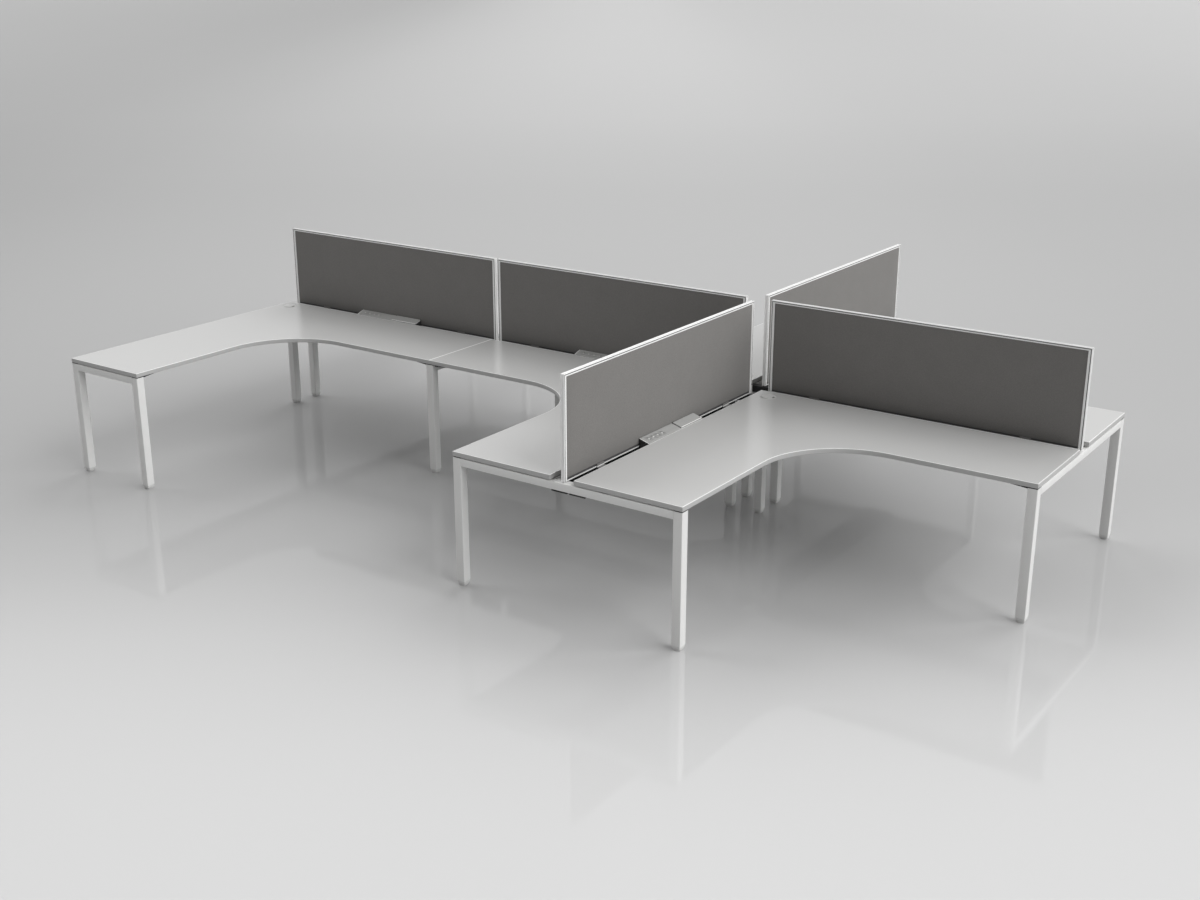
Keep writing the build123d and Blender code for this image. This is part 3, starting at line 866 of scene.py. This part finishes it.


# The bottom length has one narrow lip on each side, under a waist below the panel. The lip carries a
# painted highlight, the waist and the rest a painted shade
foot_half = [
    (slot_half, slot_depth), (slot_half, 0), (half_screen, 0), (half_screen, lip_height),
    (waist, lip_height), (waist, 15.8),
]
foot_section = mirrored_section(foot_half, [0, 0.4, 0.8, 0.8, 0, 0])
foot_member = frame_member(foot_section, screen_length - 2 * post_face - 0.2, [])
# Lip faces take the painted highlight, all the others the painted shade
for face in foot_member.faces:
    on_lip = abs(face.normal.x) > 0.3 and abs(face.calc_center_median().x) > half_screen - 1
    face.material_index = painted_highlight_index if on_lip else painted_shade_index
top_cuts = [(way, (post_face, rail_face)) for way in (-1, 1)]
top_member = frame_member(grooved_section(rail_face), screen_length, top_cuts)
post_cuts = [(1, (rail_face, post_face))]
post = frame_member(grooved_section(post_face), screen_high - screen_low, post_cuts)
panel = covered_board()
up = ways["Z"]
for screen_name, (middle, run) in screens.items():
    along = ways[run]
    half = screen_length / 2
    centre = Vector((*middle, (screen_low + screen_high) / 2))
    post_places = [facing(centre + way * half * along, -way * along, up) for way in (1, -1)]
    edging = bmesh.new()
    put(edging, foot_member, facing(Vector((*middle, screen_low)), up, along))
    put(edging, top_member, facing(Vector((*middle, screen_high)), -up, along))
    put(edging, post, *post_places, tint=3)
    tones = (drawn_coat[run], groove_painted_shade, rim_painted_highlight, drawn_coat["Z"], groove_painted_shade, rim_painted_highlight)
    add_piece(
        f"screen_edging_{screen_name}", edging, tones,
        replaced=[f"screen_frame_{screen_name}"],
    )
    covered = bmesh.new()
    put(covered, panel, at(*middle, (panel_low + panel_high) / 2, 0 if run == "X" else 90))
    add_piece(
        f"covered_panel_{screen_name}", covered, [cloth[run]],
        replaced=[f"screen_panel_{screen_name}"],
    )

# Screen shoes
# Straps and cheeks take the dark painted shade; a band low on each cheek and its screws take the painted
# highlight, in line with the frame's lip
shoe_place = 600
strap_middle = 692.5
cheek_middle = 703.6
cheek_thickness = 3.9
cheek_gap = 0.05
strap = block((60, 219.6, 4.8), 0.6)
cheek = prism(rectangle(59.6, 16.6), cheek_thickness, [3, 3, 3, 3], 3, 0.5)
cheek_highlight_band = block((59.2, 6.4, 0.5), 0.2)
cheek_screw = socket_screw(3.0, 1.6)
shoes = bmesh.new()
for middle, run in screens.values():
    for side in (-shoe_place, shoe_place):
        place = at(*middle, turn=0 if run == "X" else 90) @ at(side, 0)
        put(shoes, strap, place @ at(0, 0, strap_middle))
        for turn in (180, 0):
            side_place = place @ at(0, 0, turn=turn)
            face = side_place @ at(0, half_screen + cheek_gap, cheek_middle) @ turn_about("X", -90)
            put(shoes, cheek, face)
            put(shoes, cheek_highlight_band, face @ at(0, 4.9, 4.05), tint=1)
            seats = [face @ at(across, 4.0, cheek_thickness) for across in (-18, 18)]
            put(shoes, cheek_screw, *seats, tint=1)
add_piece("shoes", shoes, [shoe_painted_shade, rim_painted_highlight], replaced=["screen_shoes"])

# Grommets
grommet_inset = 95
cap_radius = 39.6
cap_low = 720.35
cap_thickness = 2.9
cable_slot_start = 23.8
cable_slot_half = 11
lug_place = at(35.25, 0, 717.5)
# Radius and height, up the inside of the sleeve, over its flange and down the outside
sleeve_profile = [
    (37.3, 698.2), (37.3, 719.2), (37.9, 719.8), (39.5, 720.0), (44.2, 720.0), (44.8, 719.5), (44.8, 698.2),
]
sleeve = spun(sleeve_profile, 64, closed=True)
sleeves = bmesh.new()
cap_shape = bmesh.new()
bmesh.ops.create_circle(cap_shape, cap_ends=True, segments=72, radius=cap_radius)
cut_through(cap_shape, (0, cable_slot_half, 0), ways["Y"])
cut_through(cap_shape, (0, -cable_slot_half, 0), ways["Y"])
cut_through(cap_shape, (cable_slot_start, 0, 0), ways["X"])
slot_faces = [
    face for face in cap_shape.faces
    if face.calc_center_median().x > cable_slot_start
    and abs(face.calc_center_median().y) < cable_slot_half
]
bmesh.ops.delete(cap_shape, geom=slot_faces, context="FACES")
raise_faces(cap_shape, cap_shape.faces[:], (0, 0, cap_thickness))
face_outwards(cap_shape)
soften(cap_shape, 0.7, 3, 50)
lug = block((2.5, 10, 6), 0.4)
for desk_name, (x, y, way_x, way_y, _) in desks.items():
    spot = (x + grommet_inset * way_x, y + grommet_inset * way_y)
    put(sleeves, sleeve, at(*spot))
    cap = bmesh.new()
    put(cap, cap_shape, at(*spot, cap_low))
    put(cap, lug, *[at(*spot, turn=turn) @ lug_place for turn in (0, 90, 180)])
    add_piece(
        f"cable_cap_{desk_name}", cap, [grommet_plastic], f"grommet_cap_{desk_name}",
        [f"grommet_cap_{desk_name}"],
    )
add_piece("cable_sleeves", sleeves, [grommet_plastic], replaced=["grommet_sleeves"])

# Power units
# Built with X to the user's left and Y towards the user, from the middle of the screen
unit_back = 12.0
unit_front = 69.0
unit_lip = 71.0
unit_low = 672.0
unit_seat = 720.1
unit_top = 740.0
lip_top = 722.0
half_unit = 257.5
slope = math.atan2(unit_top - lip_top, unit_lip - unit_back)
face_middle = (unit_back + unit_front) / 2
lid_length = 204.0
lid_middle = -half_unit + 2.5 + lid_length / 2
lid_end = lid_middle + lid_length / 2 + 1.5
axis_y = unit_back + 3.5
socket_pitch = 40
socket_places = [half_unit - 47 - socket_pitch * step for step in range(4)]
jack_pitch = 50
jack_places = [lid_middle + jack_pitch * step for step in (-1, 0, 1)]
# Openings in the sloping face: along the unit, down the face, and into the housing
socket_opening = (34.0, 34.0, 20.0)
jack_opening = (18.0, 20.0, 14.0)


def on_face(x, y, rise=0.0):
    """A place on the sloping face, with Z out of it and Y down it."""
    height = unit_top - (y - unit_back) * math.tan(slope)
    return at(x, y, height) @ Matrix.Rotation(-slope, 4, "X") @ at(0, 0, rise)


unit_places = []
for x, y, left in power_units.values():
    across = Vector(left)
    front = ways["Z"].cross(across)
    unit_places.append(at(x, y) @ Matrix((across, front, ways["Z"])).transposed().to_4x4())

profile = [
    (unit_back, unit_top), (unit_lip, lip_top), (unit_lip, unit_seat), (unit_front, unit_seat),
    (unit_front, unit_low), (unit_back, unit_low),
]
along_unit = Matrix(((0, 0, 1), (1, 0, 0), (0, 1, 0))).to_4x4()
housing = flat_shape(profile)
raise_faces(housing, housing.faces[:], (0, 0, 2 * half_unit))
lift(housing, -half_unit)
bmesh.ops.transform(housing, matrix=along_unit, verts=housing.verts)
face_outwards(housing)
openings = [(x, *socket_opening) for x in socket_places] + [(x, *jack_opening) for x in jack_places]
face_frame = on_face(0, face_middle)
face_centre = face_frame.translation
down_face = face_frame.to_3x3() @ ways["Y"]
out_of_face = face_frame.to_3x3() @ ways["Z"]
for x, width, tall, _ in openings:
    for side in (-1, 1):
        cut_through(housing, (x + side * width / 2, 0, 0), ways["X"])
        cut_through(housing, face_centre + down_face * side * tall / 2, down_face)
for x, width, tall, deep in openings:
    pocket = [
        face for face in housing.faces
        if face.normal.dot(out_of_face) > 0.99
        and abs(face.calc_center_median().x - x) < width / 2
        and abs((face.calc_center_median() - face_centre).dot(down_face)) < tall / 2
    ]
    press_faces(housing, pocket, -out_of_face * deep)
face_outwards(housing)
soften(housing, 0.7, 2, 25)
for face in housing.faces:
    if abs(face.normal.x) > 0.9 and abs(face.calc_center_median().x) > half_unit - 1:
        face.material_index = 1
ear_thickness = 1.9
hook = block((30, 82.8, 4.8), 0.5)
# Thin pale strips at the two ends of the sloping face: painted highlight along its end edges
end_highlight = block((4.0, 57.5, 0.6), 0.2)
seal = block((2.6, 55.0, 0.5), 0.15)
ear = prism(rectangle(6.0, 7.0), ear_thickness, [2.9, 2.9, 2.9, 2.9], 5, 0.3)
ear_places = [-half_unit + 1.0, lid_end]
axis_spot = on_face(0, axis_y, 2.3).translation
end_highlight_places = [on_face(side * (half_unit - 2.4), face_middle + 0.8, 0.1) for side in (-1, 1)]
housings = bmesh.new()
put(housings, housing, *unit_places)
for unit_place in unit_places:
    put(housings, hook, *[unit_place @ at(x, 53.5, 692.5) for x in (-200, 200)])
    ears = [
        unit_place @ at(x - ear_thickness / 2, axis_spot.y, axis_spot.z) @ turn_about("Y", 90)
        for x in ear_places
    ]
    put(housings, ear, *ears, tint=1)
    put(housings, seal, unit_place @ on_face(lid_end, face_middle + 1.0, 0.15), tint=1)
    put(housings, end_highlight, *[unit_place @ place for place in end_highlight_places], tint=2)
add_piece(
    "unit_housings", housings, [unit_plastic, black_plastic_and_painted_shade, lip_painted_highlight],
    replaced=["power_housings"],
)

# Sockets: a square bezel round a shallow round well, with a pale shutter between two slots, which are black
# plates on the well's floor: painted shade standing in for the holes
well_shift = -1.6
pin_spread = 8
bezel = skin(
    [
        {"height": -19.0, "width": 33.4, "corner": 1.5},
        {"height": 0.2, "width": 33.4, "corner": 1.5},
        {"height": 0.6, "width": 32.6, "corner": 1.3},
        {"height": 0.6, "radius": 12.6},
        {"height": 0.2, "radius": 12.2},
        {"height": -5.5, "radius": 11.8},
    ]
)
pin_slot_shade = prism(rectangle(2.6, 8.0), 0.6, [0.6] * 4, 2)
shutter = block((11.0, 9.0, 6.4), 0.8)
sockets = bmesh.new()
painted_slot_shade = bmesh.new()
shutters = bmesh.new()
for unit_place in unit_places:
    for x in socket_places:
        place = unit_place @ on_face(x, face_middle)
        put(sockets, bezel, place @ at(0, well_shift))
        slots = [place @ at(across, well_shift, -5.45) for across in (-pin_spread, pin_spread)]
        put(painted_slot_shade, pin_slot_shade, *slots)
        put(shutters, shutter, place @ at(0, 0.6, -2.4))
add_piece("socket_faces", sockets, [socket_plastic], replaced=["power_sockets"])
add_piece("painted_slot_shade", painted_slot_shade, [black_plastic_and_painted_shade])
add_piece("socket_shutters", shutters, [shutter_plastic])

# Jack contacts: a row of eight thin springs in each mouth
contact_pitch = 1.2
contact = block((0.5, 0.6, 6.0))
contact_places = [at(contact_pitch * (step - 3.5), -2.6) for step in range(8)]
contacts = bmesh.new()
for unit_place in unit_places:
    for x in jack_places:
        place = unit_place @ on_face(x, face_middle, -6.0)
        put(contacts, contact, *[place @ spring for spring in contact_places])
add_piece("jack_contacts", contacts, [contact_metal])

# Lids: a ribbed plate with a front lip in the pale painted highlight and a round barrel at the back
lid_gap = 0.4
lid_thickness = 4.0
plain_front = 7
rib_pitch = 3.4
# One groove between two ribs: how far back from its start, and how high
rib_groove = [(0.6, 4.0), (0.9, 3.5), (1.7, 3.5), (2.0, 4.0)]
front_edge = on_face(0, unit_lip - 0.8, 0.3).translation
back_edge = on_face(0, axis_y, 0.3).translation
lid_depth = (front_edge - back_edge).length
lid_profile = [(0, 0), (lid_depth, 0), (lid_depth, lid_thickness), (lid_depth - plain_front, lid_thickness)]
for step in range(int((lid_depth - 11) // rib_pitch)):
    start = lid_depth - plain_front - step * rib_pitch
    lid_profile += [(start - back, height) for back, height in rib_groove]
lid_profile += [(0, lid_thickness)]
lid_plate = prism(lid_profile, lid_length - lid_gap)
lift(lid_plate, -(lid_length - lid_gap) / 2)
bmesh.ops.transform(lid_plate, matrix=along_unit, verts=lid_plate.verts)
lip = block((lid_length - lid_gap, 6.0, 4.2), 0.8, 3)


def rod(length, radius):
    """A round rod along Z, around its own middle."""
    return skin([{"height": side * length / 2, "radius": radius} for side in (-1, 1)])


barrel_radius = 2.0
barrel = rod(lid_length - lid_gap, barrel_radius)
pin = rod(lid_length + 4.4, 1.15)
for desk_name, unit_place in zip(power_units, unit_places):
    lid = bmesh.new()
    tilt = unit_place @ at(lid_middle, back_edge.y, back_edge.z) @ Matrix.Rotation(-slope, 4, "X")
    put(lid, lid_plate, tilt)
    put(lid, lip, tilt @ at(0, lid_depth - 3.1, 2.1), tint=1)
    hinge = tilt @ at(0, 0, barrel_radius) @ turn_about("Y", 90)
    put(lid, barrel, hinge)
    put(lid, pin, hinge, tint=2)
    add_piece(
        f"jack_lid_{desk_name}", lid, [lid_plastic, lip_painted_highlight, zinc], f"power_lid_{desk_name}",
        [f"power_lid_{desk_name}"],
    )

# Floor
# A pale floor with a faint gloss. Its tone is painted light and shade: darker round the object and for some
# metres beyond it, paler towards the front and far away, and darker towards the left.
floor_finish, floor_shader = new_finish("studio_floor", (0.6, 0.6, 0.6), 1.0)
floor_shader.inputs["Specular IOR Level"].default_value = 0.0
floor_place = node(floor_finish, "ShaderNodeTexCoord").outputs["Object"]
floor_bounce = 0.65
floor_gloss = 0.11
into_room = (-0.57, 0.82, 0)
across_room = (0.82, 0.57, 0)


def painted_light_along(direction, start, end, tones):
    """Painted light and shade that changes with the distance along one direction of the floor."""
    along = distance_along(floor_finish, floor_place, direction)
    ramp = node(floor_finish, "ShaderNodeValToRGB")
    ramp.color_ramp.interpolation = "B_SPLINE"
    elements = ramp.color_ramp.elements
    while len(elements) < len(tones):
        elements.new(0.5)
    for element, (far, tone) in zip(elements, tones):
        element.position = (far - start) / (end - start)
    for element, (far, tone) in zip(elements, tones):
        element.color = (tone, tone, tone, 1)
    link(floor_finish, spread(floor_finish, along, 0.0, 1.0, start, end), ramp.inputs["Fac"])
    return ramp.outputs["Color"]


# Metres from the object, and the floor's painted light and shade there
light_and_shade_along_room = [
    (-6, 0.68), (-4, 0.675), (-3.4, 0.675), (-2.7, 0.645), (-2.1, 0.595), (-1.4, 0.52), (0, 0.475),
    (2, 0.475), (5, 0.49), (9, 0.485), (12, 0.49), (19, 0.55), (32, 0.58), (50, 0.575),
]
light_and_shade_across_room = [
    (-26, 0.76), (-15, 0.70), (-10, 0.71), (-7, 0.80), (-5, 0.88), (-2.7, 0.95), (0, 1.0), (2.5, 1.0),
    (5, 0.94), (10, 0.92), (16, 0.95), (26, 1.0),
]
floor_painted_light = node(floor_finish, "ShaderNodeMix", data_type="RGBA", blend_type="MULTIPLY")
floor_painted_light.inputs["Factor"].default_value = 1.0
link(floor_finish, painted_light_along(into_room, -10, 60, light_and_shade_along_room), floor_painted_light.inputs["A"])
link(floor_finish, painted_light_along(across_room, -30, 30, light_and_shade_across_room), floor_painted_light.inputs["B"])
# What the floor throws back onto the object is weaker than what is seen of it
floor_path = node(floor_finish, "ShaderNodeLightPath")
floor_light = node(floor_finish, "ShaderNodeMix", data_type="RGBA", blend_type="MULTIPLY")
floor_light.inputs["B"].default_value = (floor_bounce, floor_bounce, floor_bounce, 1)
link(floor_finish, floor_path.outputs["Is Diffuse Ray"], floor_light.inputs["Factor"])
link(floor_finish, floor_painted_light.outputs["Result"], floor_light.inputs["A"])
link(floor_finish, floor_light.outputs["Result"], floor_shader.inputs["Base Color"])
gloss_shader = node(floor_finish, "ShaderNodeBsdfAnisotropic")
gloss_shader.inputs["Roughness"].default_value = 0.05
gloss_shader.inputs["Color"].default_value = (1, 1, 1, 1)
floor_mix = node(floor_finish, "ShaderNodeMixShader")
floor_mix.inputs["Fac"].default_value = floor_gloss
floor_output = floor_finish.node_tree.nodes["Material Output"]
link(floor_finish, floor_shader.outputs["BSDF"], floor_mix.inputs[1])
link(floor_finish, gloss_shader.outputs["BSDF"], floor_mix.inputs[2])
link(floor_finish, floor_mix.outputs["Shader"], floor_output.inputs["Surface"])
floor_shape = bmesh.new()
bmesh.ops.create_grid(floor_shape, x_segments=1, y_segments=1, size=250.0)
floor_mesh = bpy.data.meshes.new("studio_floor")
floor_shape.to_mesh(floor_mesh)
floor_shape.free()
floor_mesh.materials.append(floor_finish)
floor = bpy.data.objects.new("studio_floor", floor_mesh)
bpy.context.scene.collection.objects.link(floor)

# Light and camera
# The sky looks brighter to the camera and in gloss than the light it gives
world = bpy.data.worlds.new("studio")
world.use_nodes = True
backdrop = world.node_tree.nodes["Background"]
backdrop.inputs["Color"].default_value = (1, 1, 1, 1)
light_path = node(world, "ShaderNodeLightPath")
sky_light = 0.13
sky_seen = {"Is Glossy Ray": 0.48, "Is Transmission Ray": 0.70, "Is Camera Ray": 0.70}
brightness = None
for ray, strength in sky_seen.items():
    choice = node(world, "ShaderNodeMapRange")
    choice.inputs["To Min"].default_value = sky_light
    choice.inputs["To Max"].default_value = strength
    link(world, light_path.outputs[ray], choice.inputs["Value"])
    if brightness is not None:
        link(world, brightness, choice.inputs["To Min"])
    brightness = choice.outputs["Result"]
link(world, brightness, backdrop.inputs["Strength"])
bpy.context.scene.world = world


def soft_sun(name, direction, strength, spread_angle):
    """A broad soft light, which the floor and the worktops don't show as a highlight."""
    lamp = bpy.data.lights.new(name, "SUN")
    lamp.energy = strength
    lamp.angle = math.radians(spread_angle)
    lamp_object = bpy.data.objects.new(name, lamp)
    lamp_object.rotation_euler = Vector(direction).to_track_quat("Z", "Y").to_euler()
    lamp_object.visible_glossy = False
    bpy.context.scene.collection.objects.link(lamp_object)


soft_sun("right_light", (0.80, 0.10, 0.50), 2.4, 60)
soft_sun("back_light", (0.05, 0.80, 0.46), 2.0, 66)
soft_sun("left_light", (-0.80, 0.15, 0.46), 1.7, 66)
soft_sun("front_light", (0.15, -0.90, 0.25), 0.45, 80)

camera_data = bpy.data.cameras.new("camera")
camera_data.lens = 44.84
camera_data.sensor_width = 36
camera_data.sensor_fit = "HORIZONTAL"
camera_data.clip_end = 1000
camera = bpy.data.objects.new("camera", camera_data)
camera.location = (4.830, -7.183, 3.135)
camera.rotation_euler = (math.radians(70.982), 0, math.radians(34.923))
bpy.context.scene.collection.objects.link(camera)
bpy.context.scene.camera = camera
bpy.context.scene.view_settings.view_transform = "Standard"
